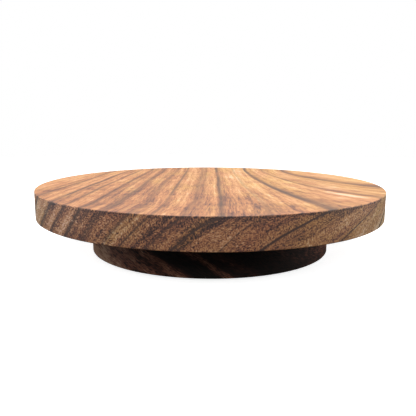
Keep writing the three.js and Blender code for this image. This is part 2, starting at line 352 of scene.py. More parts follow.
class Field:
    """A number that varies over a surface: one output of a node tree, with arithmetic."""

    def __init__(self, tree, socket):
        self.tree = tree
        self.socket = socket

    def math(self, operation, *others):
        node = self.tree.nodes.new("ShaderNodeMath")
        node.operation = operation
        for inlet, value in zip(node.inputs, (self, *others)):
            if isinstance(value, Field):
                self.tree.links.new(value.socket, inlet)
            else:
                inlet.default_value = value
        return Field(self.tree, node.outputs[0])

    def __add__(self, other):
        return self.math("ADD", other)

    __radd__ = __add__

    def __sub__(self, other):
        return self.math("SUBTRACT", other)

    def __rsub__(self, other):
        return self.math("MULTIPLY_ADD", -1, other)

    def __mul__(self, other):
        return self.math("MULTIPLY", other)

    __rmul__ = __mul__

    def __truediv__(self, other):
        return self.math("DIVIDE", other)

    def __pow__(self, other):
        return self.math("POWER", other)

    def clamped(self):
        return self.math("MAXIMUM", 0).math("MINIMUM", 1)


class Paint:
    """One material in the making, with its place on the object in millimetres as x, y and z."""

    def __init__(self, name):
        self.material = bpy.data.materials.new(name)
        self.material.use_nodes = True
        self.tree = self.material.node_tree
        self.shader = self.tree.nodes["Principled BSDF"]
        self.coordinates = self.tree.nodes.new("ShaderNodeTexCoord")
        self.place = tuple(part * (1 / MM) for part in self.parts("Object"))
        self.x, self.y, self.z = self.place

    def parts(self, output):
        node = self.tree.nodes.new("ShaderNodeSeparateXYZ")
        self.tree.links.new(self.coordinates.outputs[output], node.inputs[0])
        return [Field(self.tree, socket) for socket in node.outputs]

    def distance_from_axis(self):
        return (self.x * self.x + self.y * self.y) ** 0.5

    def vector(self, x, y, z):
        node = self.tree.nodes.new("ShaderNodeCombineXYZ")
        for inlet, value in zip(node.inputs, (x, y, z)):
            self.set(inlet, value)
        return node.outputs[0]

    def set(self, inlet, value):
        if isinstance(value, Field):
            value = value.socket
        if isinstance(value, bpy.types.NodeSocket):
            self.tree.links.new(value, inlet)
        elif isinstance(value, tuple):
            inlet.default_value = (*value, 1)
        else:
            inlet.default_value = value

    def scaled(self, place, size, shift):
        """A place in units of a size, or of one size for each direction, and shifted along the third."""
        sizes = size if isinstance(size, tuple) else (size, size, size)
        x, y, z = (part / length for part, length in zip(place, sizes))
        return self.vector(x, y, z + shift)

    def noise(self, place, size, shift=0, detail=2, roughness=0.5):
        """Smooth noise from 0 to 1 that changes over about a size, in millimetres."""
        node = self.tree.nodes.new("ShaderNodeTexNoise")
        self.set(node.inputs["Vector"], self.scaled(place, size, shift))
        node.inputs["Scale"].default_value = 1
        node.inputs["Detail"].default_value = detail
        node.inputs["Roughness"].default_value = roughness
        return Field(self.tree, node.outputs[0])

    def cell_tone(self, place, size):
        """A random number for each of many crystal-like cells of about a size, in millimetres."""
        node = self.tree.nodes.new("ShaderNodeTexVoronoi")
        self.set(node.inputs["Vector"], self.scaled(place, size, 0))
        node.inputs["Scale"].default_value = 1
        grey = self.tree.nodes.new("ShaderNodeSeparateColor")
        self.tree.links.new(node.outputs["Color"], grey.inputs[0])
        return Field(self.tree, grey.outputs[0])

    def fade(self, value, start, end, low=0.0, high=1.0):
        """Goes smoothly from low to high as value goes from start to end."""
        node = self.tree.nodes.new("ShaderNodeMapRange")
        node.interpolation_type = "SMOOTHSTEP"
        for name, number in zip(("Value", 1, 2, 3, 4), (value, start, end, low, high)):
            self.set(node.inputs[name], number)
        return Field(self.tree, node.outputs[0])

    def mixed(self, amount, first, second):
        """A number between two others."""
        return amount * (second - first) + first

    def ramp(self, value, stops, interpolation="LINEAR"):
        """The colour for a value, from stops of (value between 0 and 1, colour)."""
        node = self.tree.nodes.new("ShaderNodeValToRGB")
        node.color_ramp.interpolation = interpolation
        self.set(node.inputs[0], value)
        elements = node.color_ramp.elements
        while len(elements) < len(stops):
            elements.new(1)
        for element, (place, colour) in zip(elements, stops):
            element.position = place
            element.color = (*colour, 1)
        return node.outputs[0]

    def tones(self, place, stops):
        """A number for a place, in millimetres, from stops of (place, number)."""
        low, high = stops[0][0], stops[-1][0]
        span = high - low
        grey = [((at - low) / span, (tone, tone, tone)) for at, tone in stops]
        return Field(self.tree, self.ramp((place - low) / span, grey, "EASE"))

    def line(self, place, middle, width, soft_side=1):
        """1 where place is middle, falling off to 0 on both sides, soft_side times as slowly above it."""
        away = (place - middle) / width
        is_above = away.math("GREATER_THAN", 0)
        away = away / self.mixed(is_above, 1, soft_side)
        return (away * away * -1).math("EXPONENT")

    def blend(self, amount, first, second, kind="MIX"):
        """A colour between two others, or the first one multiplied by the second."""
        node = self.tree.nodes.new("ShaderNodeMix")
        node.data_type = "RGBA"
        node.blend_type = kind
        self.set(node.inputs[0], amount)
        self.set(node.inputs[6], first)
        self.set(node.inputs[7], second)
        return node.outputs[2]

    def bump(self, height, distance):
        """Raises the surface by up to distance, in millimetres, where height is 1."""
        node = self.tree.nodes.new("ShaderNodeBump")
        node.inputs["Distance"].default_value = distance * MM
        self.set(node.inputs["Height"], height)
        self.set(self.shader.inputs["Normal"], node.outputs[0])

    def finished(self, colour, roughness, metallic=0, specular=0.5):
        """The material, with the last of its properties set."""
        self.set(self.shader.inputs["Base Color"], colour)
        self.set(self.shader.inputs["Roughness"], roughness)
        self.shader.inputs["Metallic"].default_value = metallic
        self.shader.inputs["Specular IOR Level"].default_value = specular
        return self.material


# ---- Wood ---------------------------------------------------------------------------------------------


class TopWood(Paint):
    """The striped wood of the top, with a quiet face and a rim of more contrast."""

    def __init__(self):
        super().__init__("top_wood")
        self.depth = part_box("top_board")[1].z / MM - self.z
        self.across = self.across_grain()
        self.sideways, self.endways = (facing * facing for facing in self.parts("Normal")[:2])
        self.rim = self.sideways + self.endways
        self.face = 1 - self.rim
        self.side = self.fade(self.across, -75, 60)  # 0 on the left, 1 on the right
        self.upright = (self.x, self.y, self.depth)
        self.grain = (self.across, self.y, self.depth)
        self.streaks = self.noise(self.grain, (3, 70, 50), detail=4, roughness=0.7) - 0.5
        self.speckle = self.fine_speckle()

    def across_grain(self):
        """Where a point lies across the grain, once the fan and the leaning rings are undone."""
        waver = self.noise(self.place, (45, 90, 30), detail=1) - 0.5
        bending = 1 - self.line(self.x, GRAIN_FOCUS, STEADY_WIDTH)
        drift = self.fade(self.y, *DRIFT_Y, 0, FRONT_DRIFT) * bending
        x = self.x + waver * GRAIN_WAVER + drift
        lean = LEAST_RING_LEAN + RING_LEAN_RISE * (x / RING_LEAN_GROWTH).math("EXPONENT")
        lean = lean + self.fade(x, *RIGHT_LEAN_X, 0, RIGHT_RING_LEAN)
        out = (x + self.depth * lean - GRAIN_FOCUS) / FAN_UNIT
        forward = ((FAN_START - self.y) / FAN_UNIT).math("MAXIMUM", 0)
        left = LEFT_FAN * (1 + LEFT_FAN_SPREAD * out * out) * forward**LEFT_FAN_POWER
        right = RIGHT_FAN * out.math("ABSOLUTE") ** RIGHT_FAN_OUT_POWER * forward**RIGHT_FAN_POWER
        is_right = out.math("GREATER_THAN", 0)
        spread = 1 + self.mixed(is_right, left, right)
        return GRAIN_FOCUS + FAN_UNIT * out / spread

    def fine_speckle(self):
        """Fibres on the face. On the rim pores, in patches where they stand upright or lie flat."""
        fibres = self.noise(self.grain, (0.7, 14, 1.4), detail=3, roughness=0.6) - 0.5
        upright_pores = self.noise(self.upright, (0.7, 14, 1.3)) - 0.5
        flat_pores = self.noise(self.upright, (1.2, 14, 0.7)) - 0.5
        curl = self.fade(self.noise(self.upright, (15, 70, 9), detail=1), 0.45, 0.6)
        return self.mixed(self.rim, fibres, self.mixed(curl, upright_pores, flat_pores))

    def figure(self):
        """What streaks, ribbons, clouds and ripples add to the tone."""
        clouds = self.noise(self.grain, (16, 35, 20), shift=7) - 0.5
        ripples = self.noise(self.grain, (26, 8.75, 8), detail=1) - 0.5
        wander = self.noise(self.grain, (20, 70, 40), shift=2) * RIBBON_WANDER
        ribbons = (self.across * (2 * math.pi / RIBBON_SPACING) + wander).math("SINE")
        figure = self.streaks * STREAK_CONTRAST + ribbons * RIBBON_CONTRAST
        return figure + clouds * CLOUD_CONTRAST + ripples * RIPPLE_CONTRAST

    def fine_grain(self):
        """What fibres and pores add to the tone."""
        pores = self.fade(self.noise(self.grain, (0.8, 7, 1.5), shift=9, detail=1), 0.54, 0.66)
        rim_contrast = self.mixed(self.side, LEFT_RIM_CONTRAST, RIGHT_RIM_CONTRAST)
        contrast = self.mixed(self.rim, FIBRE_CONTRAST, rim_contrast)
        darkness = self.mixed(self.rim, FACE_PORE_DARKNESS, RIM_PORE_DARKNESS)
        return self.speckle * contrast - pores * darkness

    def shade(self):
        """How much darker it is: painted shade to the front and left, in patches, and high on the rim."""
        # Painted shade towards the front and the left, where less light falls.
        shade = self.fade(self.y, 60, -120) * PAINTED_FRONT_SHADE + self.fade(self.x, -10, -110) * PAINTED_LEFT_SHADE
        for place, width, start, full, strength in FRONT_PATCHES:
            patch = self.line(self.across, place, width) * self.fade(self.y, start, full)
            shade = shade + patch * self.face * strength
        edge = self.line(self.depth, EDGE_SHADE_DEPTH, EDGE_SHADE_WIDTH) * EDGE_SHADE
        high = (0.6 - self.fade(self.depth, 3, 11)) * RIM_TOP_SHADE
        return shade + (edge + high) * self.rim

    def fleck(self):
        across = self.line(self.across, FLECK["across"], FLECK["width"])
        along = self.line(self.y, FLECK["y"], FLECK["length"])
        return across * along * self.face * FLECK["strength"]

    def tone(self):
        """How light the wood is, from 0 to 1."""
        on_face, on_rim = (self.tones(self.across, stops) for stops in (FACE_TONES, RIM_TONES))
        bands = self.mixed(self.rim, on_face, on_rim)
        return (bands + self.figure() + self.fine_grain() - self.shade() + self.fleck()).clamped()

    def dark_lines(self):
        """How much of a dark line there is, from 0 to 1."""
        strength = self.fade(self.noise((self.across, self.y, 3), (7, 50, 1), detail=1), 0.3, 0.55, 0.6, 1)
        soft_side = self.mixed(self.face * self.side, LEAST_SOFT_SIDE, MOST_SOFT_SIDE)
        narrowing = 1 - self.rim * self.side * RIM_LINE_NARROWING
        lines = 0
        for place, width, darkness in DARK_LINES:
            lines = self.line(self.across, place, narrowing * width, soft_side) * darkness + lines
        on_rim = self.rim * (RIM_LINE_STRENGTH + self.side * RIGHT_RIM_LINE_STRENGTH)
        grain = self.speckle * self.mixed(self.rim, FACE_LINE_GRAIN, RIM_LINE_GRAIN)
        return (lines * strength * (1 + on_rim) * (1 + self.streaks * LINE_STREAKS + grain)).clamped()

    def colour(self):
        hue = self.noise(self.grain, (12, 50, 40), shift=3, detail=3) + (self.side - 0.5) * HUE_SHIFT_RIGHT
        hue = hue - self.fade(self.y, 0, -120) * self.face * HUE_SHIFT_FRONT
        lines = self.dark_lines()
        colour = self.ramp(self.tone(), WOOD_COLOURS)
        colour = self.blend(self.fade(hue, 0.35, 0.6, 1, 0), colour, PINK_TINT, "MULTIPLY")
        colour = self.blend(self.fade(hue, 0.5, 0.72), colour, GOLD_TINT, "MULTIPLY")
        colour = self.blend(lines, colour, LINE_COLOUR)
        colour = self.blend(lines * self.rim * RIM_LINE_DEEPENING, colour, WOOD_COLOURS[0][1])
        colour = self.blend(self.endways, colour, END_TINT, "MULTIPLY")
        # Painted sheen on the rim where it faces left and right.
        return self.blend(self.sideways, colour, PAINTED_SHEEN_TINT, "MULTIPLY")


def top_wood():
    paint = TopWood()
    paint.bump(paint.streaks * 0.3 + paint.speckle, 0.12)
    roughness = 0.56 - paint.streaks * 0.2 - paint.speckle * 0.15
    return paint.finished(paint.colour(), roughness, specular=0.4)


def base_wood():
    """Dark wood, reddish-brown patches, painted shade in the middle and painted side light on the ends."""
    paint = Paint("base_wood")
    low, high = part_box("base_board")
    height = paint.z - (low.z + high.z) / 2 / MM
    waver = paint.noise(paint.place, (30, 80, 25)) - 0.5
    across = paint.x + waver * BASE_WAVER + height * BASE_RING_LEAN
    patches = paint.noise((across - height, paint.y, height), (5, 40, 4), detail=4, roughness=0.65) - 0.5
    fibres = paint.noise((across, paint.y, paint.z), (1.1, 14, 1.8)) - 0.5
    contrast = 1 + patches * BASE_PATCH_CONTRAST + fibres * BASE_FIBRE_CONTRAST
    # The tones hold painted shade in the middle and painted side light on the ends.
    tone = paint.tones(across, BASE_WOOD_AND_PAINTED_LIGHT_TONES) * contrast + fibres * BASE_FIBRE_TONE
    paint.bump(fibres, 0.1)
    return paint.finished(paint.ramp(tone.clamped(), BASE_COLOURS), 0.58 - fibres * 0.15, specular=0.3)


# ---- Metal, nylon and rubber --------------------------------------------------------------------------


def zinc_plate():
    """Zinc-plated sheet: a faint spangle, rolling marks, and a polished track where the balls run."""
    paint = Paint("zinc_plate")
    spangle = paint.cell_tone(paint.place, 5) - 0.5
    rolling = paint.noise(paint.place, (0.5, 25, 5)) - 0.5
    film = paint.noise(paint.place, 18, detail=3)
    track = paint.line(paint.distance_from_axis(), ball_pitch_radius(), 0.8)
    light = 0.62 + spangle * 0.12 + rolling * 0.16 + track * 0.15
    colour = paint.ramp(light.clamped(), [(0.3, (0.30, 0.31, 0.33)), (0.9, (0.78, 0.79, 0.80))])
    colour = paint.blend(paint.fade(film, 0.5, 0.7, 0, 0.35), colour, (0.62, 0.58, 0.50))
    paint.bump(rolling + spangle * 0.3, 0.02)
    return paint.finished(colour, 0.38 + spangle * 0.1 + rolling * 0.15 - track * 0.2, metallic=1)


def screw_steel():
    """Yellow-passivated steel, duller and darker in patches."""
    paint = Paint("screw_steel")
    patches = paint.noise(paint.place, 1.6, detail=4)
    turning = paint.noise(paint.place, (4, 4, 0.15), detail=1) - 0.5
    stops = [(0.3, (0.24, 0.20, 0.13)), (0.5, (0.56, 0.51, 0.37)), (0.75, (0.72, 0.68, 0.55))]
    roughness = paint.fade(patches, 0.3, 0.7, 0.5, 0.26) + turning * 0.1
    paint.bump(turning, 0.01)
    return paint.finished(paint.ramp(patches + turning * 0.25, stops), roughness, metallic=1)


def ball_steel():
    """Polished bearing steel with hairline running marks."""
    paint = Paint("ball_steel")
    marks = paint.noise(paint.place, (0.12, 0.9, 0.9), detail=3) - 0.5
    bloom = paint.noise(paint.place, 2)
    stops = [(0.3, (0.60, 0.60, 0.61)), (0.7, (0.80, 0.80, 0.81))]
    paint.bump(marks, 0.002)
    roughness = 0.12 + bloom * 0.08 + marks * 0.08
    return paint.finished(paint.ramp(bloom + marks * 0.2, stops), roughness, metallic=1)


def nylon():
    """Natural moulded nylon, slightly cloudy, with a fine spark-eroded texture."""
    paint = Paint("nylon")
    cloud = paint.noise(paint.place, 9, detail=3)
    grain = paint.noise(paint.place, 0.25) - 0.5
    stops = [(0.3, (0.60, 0.56, 0.45)), (0.7, (0.80, 0.77, 0.67))]
    paint.bump(grain, 0.02)
    return paint.finished(paint.ramp(cloud + grain * 0.3, stops), 0.45 + grain * 0.2)


def rubber():
    """Matt black rubber, rubbed paler and dusty on the sole."""
    paint = Paint("rubber")
    grain = paint.noise(paint.place, 0.3, detail=3)
    dust = paint.noise(paint.place, 2.5, detail=3)
    sole = paint.fade(paint.z, 0, 0.8, 1, 0)
    tone = grain * 0.5 + dust * 0.3 + sole * dust * 0.6
    stops = [(0.2, (0.010, 0.010, 0.011)), (0.6, (0.030, 0.030, 0.031)), (1.0, (0.12, 0.115, 0.105))]
    paint.bump(grain, 0.04)
    return paint.finished(paint.ramp(tone.clamped(), stops), 0.78 + grain * 0.15, specular=0.35)


# ---- Meshes -------------------------------------------------------------------------------------------


def filleted(corners, steps=4):
    """An outline from its corners of (radius, height) or (radius, height, fillet).

    A fillet is how far before and after the corner the outline starts and ends to turn."""
    points = []
    for i, (radius, height, *fillet) in enumerate(corners):
        corner = Vector((radius, height))
        if not fillet:
            points.append(tuple(corner))
            continue
        before = (Vector(corners[i - 1][:2]) - corner).normalized() * fillet[0] + corner
        after = (Vector(corners[(i + 1) % len(corners)][:2]) - corner).normalized() * fillet[0] + corner
        for step in range(steps + 1):
            t = step / steps
            points.append(tuple(before.lerp(corner, t).lerp(corner.lerp(after, t), t)))
    return points


def shape_object(name, mesh):
    """An object from a bmesh, which is used up."""
    data = bpy.data.meshes.new(name)
    mesh.to_mesh(data)
    mesh.free()
    made = bpy.data.objects.new(name, data)
    bpy.context.scene.collection.objects.link(made)
    return made


def revolved(name, outline_at, segments):
    """A body about Z. outline_at gives its outline of (radius, height) points at an angle in radians.

    Each outline goes anticlockwise, closed or from axis to axis, and all have the same number of points."""
    mesh = bmesh.new()
    angles = [2 * math.pi * i / segments for i in range(segments)]
    rings = []
    for points in zip(*(outline_at(angle) for angle in angles)):
        if points[0][0] == 0:
            rings.append([mesh.verts.new((0, 0, points[0][1] * MM))] * segments)
            continue
        circle = [(r * math.cos(a), r * math.sin(a), h) for a, (r, h) in zip(angles, points)]
        rings.append([mesh.verts.new(Vector(point) * MM) for point in circle])
    pairs = list(zip(rings, rings[1:]))
    if len(set(rings[0])) > 1:
        pairs.append((rings[-1], rings[0]))
    for lower, upper in pairs:
        for i in range(segments):
            j = (i + 1) % segments
            corners = dict.fromkeys([lower[i], lower[j], upper[j], upper[i]])
            if len(corners) > 2:
                mesh.faces.new(corners)
    return shape_object(name, mesh)


def lathe(name, outline, segments):
    return revolved(name, lambda angle: outline, segments)


def cylinder(name, radius, bottom, top, segments):
    return lathe(name, [(0, bottom), (radius, bottom), (radius, top), (0, top)], segments)


def cut(piece, *cutters):
    """Takes the shapes of cutters, which don't overlap, out of a piece and removes them."""
    mesh = bmesh.new()
    for cutter in cutters:
        mesh.from_mesh(cutter.data)
        bpy.data.objects.remove(cutter)
    together = shape_object("cutters", mesh)
    modifier = piece.modifiers.new("cut", "BOOLEAN")
    modifier.operation = "DIFFERENCE"
    modifier.solver = "EXACT"
    modifier.object = together
    solid = piece.evaluated_get(bpy.context.evaluated_depsgraph_get())
    result = bpy.data.meshes.new_from_object(solid)
    piece.modifiers.clear()
    piece.data = result
    bpy.data.objects.remove(together)


def repeated(shape, places):
    """One object with a copy of a shape at each place, and the shape removed."""
    mesh = bmesh.new()
    for x, y in places:
        copy = shape.data.copy()
        copy.transform(Matrix.Translation(Vector((x, y, 0)) * MM))
        mesh.from_mesh(copy)
        bpy.data.meshes.remove(copy)
    bpy.data.objects.remove(shape)
    return shape_object("copies", mesh)


def drill(radius, tip, mouth):
    """A cutter for a blind hole: its bottom is a cone at tip, and its mouth is softened."""
    inward = 1 if mouth > tip else -1
    corners = [
        (0, tip),
        (radius, tip + inward * radius * 2 * DRILL_POINT),
        (radius, mouth - inward * HOLE_ARRIS),
        (radius + HOLE_ARRIS, mouth),
        (radius + HOLE_ARRIS, mouth + inward),
        (0, mouth + inward),
    ]
    return lathe("drill", corners[::inward], HOLE_SEGMENTS)


def smooth(piece, angle=35):
    """Smooth shading, with creases kept where faces meet at more than that angle."""
    piece.data.shade_smooth()
    piece.data.set_sharp_from_angle(angle=math.radians(angle))


def box(node):
    """The lowest and the highest corner and the middle of a CAD node, in millimetres."""
    low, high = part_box(node)
    return low / MM, high / MM, (low + high) / 2 / MM


def ball_pitch_radius():
    return box("ball_01")[2].xy.length


def numbered(prefix, count=4):
    return [f"{prefix}_{i + 1}" for i in range(count)]


def places_of(nodes):
    return [box(node)[2].xy for node in nodes]


def finish_piece(piece, node):
    """Joins a piece to its CAD node's body and slot, and gives it the material of that slot."""
    bodies = record["behaviour"]["bodies"]
    body = next(name for name, members in bodies.items() if node in members)
    slot = next(part["material_slot"] for part in record["subparts"] if part["node"] == node)
    piece.data.materials.clear()
    piece.data.materials.append(MATERIALS[slot])
    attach(piece, body)
    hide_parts(node)


# ---- Boards -------------------------------------------------------------------------------------------


def turned_top():
    low, high, _ = box("top_board")
    radius, bottom, top = high.x, low.z, high.z
    outline = filleted(
        [
            (0, bottom),
            (radius - 3 * ARRIS, bottom),
            (radius, bottom, ARRIS),
            (radius, top, ARRIS),
            (radius - 3 * ARRIS, top),
            (0, top),
        ]
    )
    board = lathe("turned_top", outline, BOARD_SEGMENTS)
    screws = numbered("upper_screw")
    tip = box(screws[0])[1].z + PILOT_SPARE_DEPTH
    hole = drill(PLATE_SCREW["shank"] + PILOT_CLEARANCE, tip, bottom)
    cut(board, repeated(hole, places_of(screws)))
    smooth(board)
    finish_piece(board, "top_board")


def turned_base():
    low, high, _ = box("base_board")
    radius, bottom, top = high.x, low.z, high.z
    floor_height = box("lower_plate")[0].z
    outline = filleted(
        [
            (0, bottom),
            (radius - 3 * ARRIS, bottom),
            (radius, bottom, ARRIS),
            (radius, top, ARRIS),
            (radius - 3 * ARRIS, top),
            (RECESS_RADIUS, top, ARRIS / 2),
            (RECESS_RADIUS, floor_height, ARRIS),
            (RECESS_RADIUS - 3 * ARRIS, floor_height),
            (0, floor_height),
        ]
    )
    board = lathe("turned_base", outline, BOARD_SEGMENTS)
    feet, foot_screws, plate_screws = numbered("foot"), numbered("foot_screw"), numbered("lower_screw")
    access = cylinder("access", ACCESS_HOLE_RADIUS, 0, top, WIDE_HOLE_SEGMENTS)
    access.data.transform(Matrix.Translation((places_of(plate_screws)[0].length * MM, 0, 0)))
    pocket_radius = box(feet[0])[1].x - places_of(feet)[0].x + FOOT_POCKET_CLEARANCE
    pocket_top = box(feet[0])[1].z
    hole_radius = FOOT_SCREW["shank"] + PILOT_CLEARANCE
    hole_end = box(foot_screws[0])[1].z + PILOT_SPARE_DEPTH
    pocket_outline = [
        (0, 0),
        (pocket_radius + HOLE_ARRIS, 0),
        (pocket_radius + HOLE_ARRIS, bottom),
        (pocket_radius, bottom + HOLE_ARRIS),
        (pocket_radius, pocket_top),
        (hole_radius + HOLE_ARRIS, pocket_top),
        (hole_radius, pocket_top + HOLE_ARRIS),
        (hole_radius, hole_end - hole_radius * 2 * DRILL_POINT),
        (0, hole_end),
    ]
    pocket = lathe("pocket", pocket_outline, WIDE_HOLE_SEGMENTS)
    plate_hole_end = box(plate_screws[0])[0].z - PILOT_SPARE_DEPTH
    plate_hole = drill(PLATE_SCREW["shank"] + PILOT_CLEARANCE, plate_hole_end, floor_height)
    cut(board, access, repeated(pocket, places_of(feet)), repeated(plate_hole, places_of(plate_screws)))
    smooth(board)
    finish_piece(board, "base_board")


# ---- Bearing ------------------------------------------------------------------------------------------


def square_reach(angle, half, corner):
    """How far a square with rounded corners reaches from its middle at an angle."""
    along, across = sorted((abs(math.cos(angle)), abs(math.sin(angle))), reverse=True)
    reach = half / along
    if reach * across <= half - corner:
        return reach
    middle = (half - corner) * (along + across)
    return middle + math.sqrt(middle**2 - 2 * (half - corner) ** 2 + corner**2)


def plate_outline(half):
    """The section of a pressed plate at each angle, with its mounting face on height 0."""
    pitch = ball_pitch_radius()
    groove_inner = pitch - GROOVE_HALF_WIDTH
    land_inner = pitch + GROOVE_HALF_WIDTH + PRESSED_SLOPE
    land_outer = land_inner + PRESSED_LAND_WIDTH
    middle, land = PRESSED_MIDDLE_RISE, PRESSED_LAND_RISE
    levels = [
        (groove_inner - PRESSED_SLOPE, middle, 1.2),
        (groove_inner, 0, 0.9),
        (pitch + GROOVE_HALF_WIDTH, 0, 0.8),
        (land_inner, land, 0.7),
        (land_outer, land, 0.7),
        (land_outer + PRESSED_SLOPE, 0, 0.8),
    ]
    eye = [(EYE_HOLE_RADIUS, middle + SHEET, SHEET_EDGE), (EYE_HOLE_RADIUS, middle, SHEET_EDGE)]

    def outline(angle):
        reach = square_reach(angle, half, PLATE_CORNER_RADIUS)
        mounting = [*eye, *levels, (reach - PLATE_RIM, 0), (reach, 0, SHEET_EDGE)]
        outer = [(reach, SHEET, SHEET_EDGE), (reach - PLATE_RIM, SHEET)]
        ball_side = [(radius, rise + SHEET, fillet) for radius, rise, fillet in levels]
        return filleted([*mounting, *outer, *ball_side[::-1]])

    return outline


def pressed_plate(name, node, upright):
    low, high, _ = box(node)
    plate = revolved(name, plate_outline(high.x), PLATE_SEGMENTS)
    hole = cylinder("hole", PLATE_HOLE_RADIUS, -CUT_MARGIN, SHEET + CUT_MARGIN, HOLE_SEGMENTS)
    cut(plate, repeated(hole, places_of(numbered("lower_screw"))))
    if not upright:
        plate.data.transform(Matrix.Rotation(math.pi, 4, "X"))
    seat = low.z if upright else high.z
    plate.data.transform(Matrix.Translation((0, 0, seat * MM)))
    smooth(plate)
    finish_piece(plate, node)


def rolled_eyelet():
    low, high, _ = box("centre_eyelet")
    collar = high.x
    outer = EYE_HOLE_RADIUS - EYELET_CLEARANCE
    inner = outer - EYELET_WALL
    lower, upper = low.z + EYELET_COLLAR_THICKNESS, high.z - EYELET_COLLAR_THICKNESS
    edge = EYELET_COLLAR_THICKNESS / 2
    outline = filleted(
        [
            (inner, low.z, EYELET_MOUTH),
            (collar, low.z, edge),
            (collar, lower, edge * 0.9),
            (outer, lower, EYELET_CORNER),
            (outer, upper, EYELET_CORNER),
            (collar, upper, edge * 0.9),
            (collar, high.z, edge),
            (inner, high.z, EYELET_MOUTH),
        ]
    )
    eyelet = lathe("rolled_eyelet", outline, RING_SEGMENTS)
    smooth(eyelet, 50)
    finish_piece(eyelet, "centre_eyelet")


def ball_nodes():
    bodies = record["behaviour"]["bodies"]
    return sorted(node for members in bodies.values() for node in members if re.match(r"ball_\d+$", node))


def moulded_retainer():
    low, high, _ = box("ball_retainer")
    bottom, top, outer = low.z, high.z, high.x
    inner = 2 * ball_pitch_radius() - outer
    corners = [(inner, bottom), (outer, bottom), (outer, top), (inner, top)]
    outline = filleted([(*corner, RETAINER_EDGE) for corner in corners])
    ring = lathe("moulded_retainer", outline, RING_SEGMENTS)
    pocket_outline = [
        (0, bottom - CUT_MARGIN),
        (POCKET_RADIUS + POCKET_BEVEL, bottom - CUT_MARGIN),
        (POCKET_RADIUS + POCKET_BEVEL, bottom),
        (POCKET_RADIUS, bottom + POCKET_BEVEL),
        (POCKET_RADIUS, top - POCKET_BEVEL),
        (POCKET_RADIUS + POCKET_BEVEL, top),
        (POCKET_RADIUS + POCKET_BEVEL, top + CUT_MARGIN),
        (0, top + CUT_MARGIN),
    ]
    pocket = lathe("pocket", pocket_outline, HOLE_SEGMENTS)
    core_outline = filleted(
        [
            (0, top - CORE_DEPTH),
            (CORE_RADIUS, top - CORE_DEPTH, 0.2),
            (CORE_RADIUS, top, 0.1),
            (CORE_RADIUS + CORE_DRAFT, top + CUT_MARGIN),
            (0, top + CUT_MARGIN),
        ]
    )
    core = lathe("core", core_outline, CORE_SEGMENTS)
    places = places_of(ball_nodes())
    half_step = Matrix.Rotation(math.pi / len(places), 2)
    cut(ring, repeated(pocket, places), repeated(core, [half_step @ place for place in places]))
    smooth(ring)
    finish_piece(ring, "ball_retainer")


def polished_ball(node):
    low, high, middle = box(node)
    mesh = bmesh.new()
    bmesh.ops.create_icosphere(mesh, subdivisions=4, radius=(high.z - low.z) / 2 * MM)
    bmesh.ops.translate(mesh, verts=mesh.verts, vec=middle * MM)
    sphere = shape_object(f"polished_{node}", mesh)
    smooth(sphere)
    finish_piece(sphere, node)


# ---- Screws and feet ----------------------------------------------------------------------------------


def thread_outline(length, shank, head, head_height, pitch):
    """The section of a pan-head wood screw at each angle. Its head's underside is on height 0."""
    root = shank * (1 - THREAD_DEPTH)
    neck = length * NECK_LENGTH
    taper = shank * TAPER_LENGTH
    rows = round((length - neck) / pitch * THREAD_ROWS)
    head_outline = filleted(
        [
            (shank * NECK_RADIUS, 0),
            (head, 0, 0.2),
            (head, head_height * 0.5, head_height * 0.3),
            (head * 0.6, head_height, head * 0.25),
            (0, head_height),
        ]
    )

    def outline(angle):
        points = [(0, -length)]
        for row in range(1, rows):
            height = (length - neck) * row / rows
            narrowing = min(1, height / taper)
            phase = (height / pitch - angle / (2 * math.pi)) % 1 - 0.5
            ridge = math.cos(math.pi * phase) ** THREAD_SHARPNESS * min(1, (rows - row) / THREAD_ROWS)
            thread = (shank - root) * min(1, 2 * narrowing) * ridge
            points.append(((root + thread) * narrowing, height - length))
        return [*points, (root, -neck), (shank * NECK_RADIUS, -neck * 0.7), *head_outline]

    return outline


def slot_cutter(slot, head_height, turn):
    """A wedge that narrows downwards, as one blade of a cross-head screwdriver's tip."""
    mesh = bmesh.new()
    bmesh.ops.create_cube(mesh, size=1)
    for vertex in mesh.verts:
        is_low = vertex.co.z < 0
        narrowing = SLOT_NARROWING if is_low else 1
        vertex.co.x *= slot * SLOT_LENGTH * narrowing
        vertex.co.y *= slot * SLOT_WIDTH * narrowing
        vertex.co.z = head_height * (SLOT_BOTTOM if is_low else SLOT_TOP)
    bmesh.ops.rotate(mesh, verts=mesh.verts, matrix=Matrix.Rotation(turn, 3, "Z"))
    bmesh.ops.scale(mesh, verts=mesh.verts, vec=(MM, MM, MM))
    return shape_object("slot", mesh)


def threaded_screws(prefix, size, head_up):
    nodes = numbered(prefix)
    low, high, _ = box(nodes[0])
    height = size["head_height"]
    length = high.z - low.z - height
    section = thread_outline(length, size["shank"], size["head"], height, size["pitch"])
    pattern = revolved("screw", section, SCREW_SEGMENTS)
    cut(pattern, slot_cutter(size["slot"], height, 0))
    cut(pattern, slot_cutter(size["slot"], height, math.pi / 2))
    smooth(pattern, 40)
    seat = high.z - height if head_up else low.z + height
    if not head_up:
        pattern.data.transform(Matrix.Rotation(math.pi, 4, "X"))
    for i, (node, place) in enumerate(zip(nodes, places_of(nodes))):
        screw = bpy.data.objects.new(f"threaded_{node}", pattern.data.copy())
        bpy.context.scene.collection.objects.link(screw)
        turn = Matrix.Rotation(math.radians(SCREW_TURN_STEP * i), 4, "Z")
        screw.data.transform(Matrix.Translation(Vector((*place, seat)) * MM) @ turn)
        finish_piece(screw, node)
    bpy.data.objects.remove(pattern)


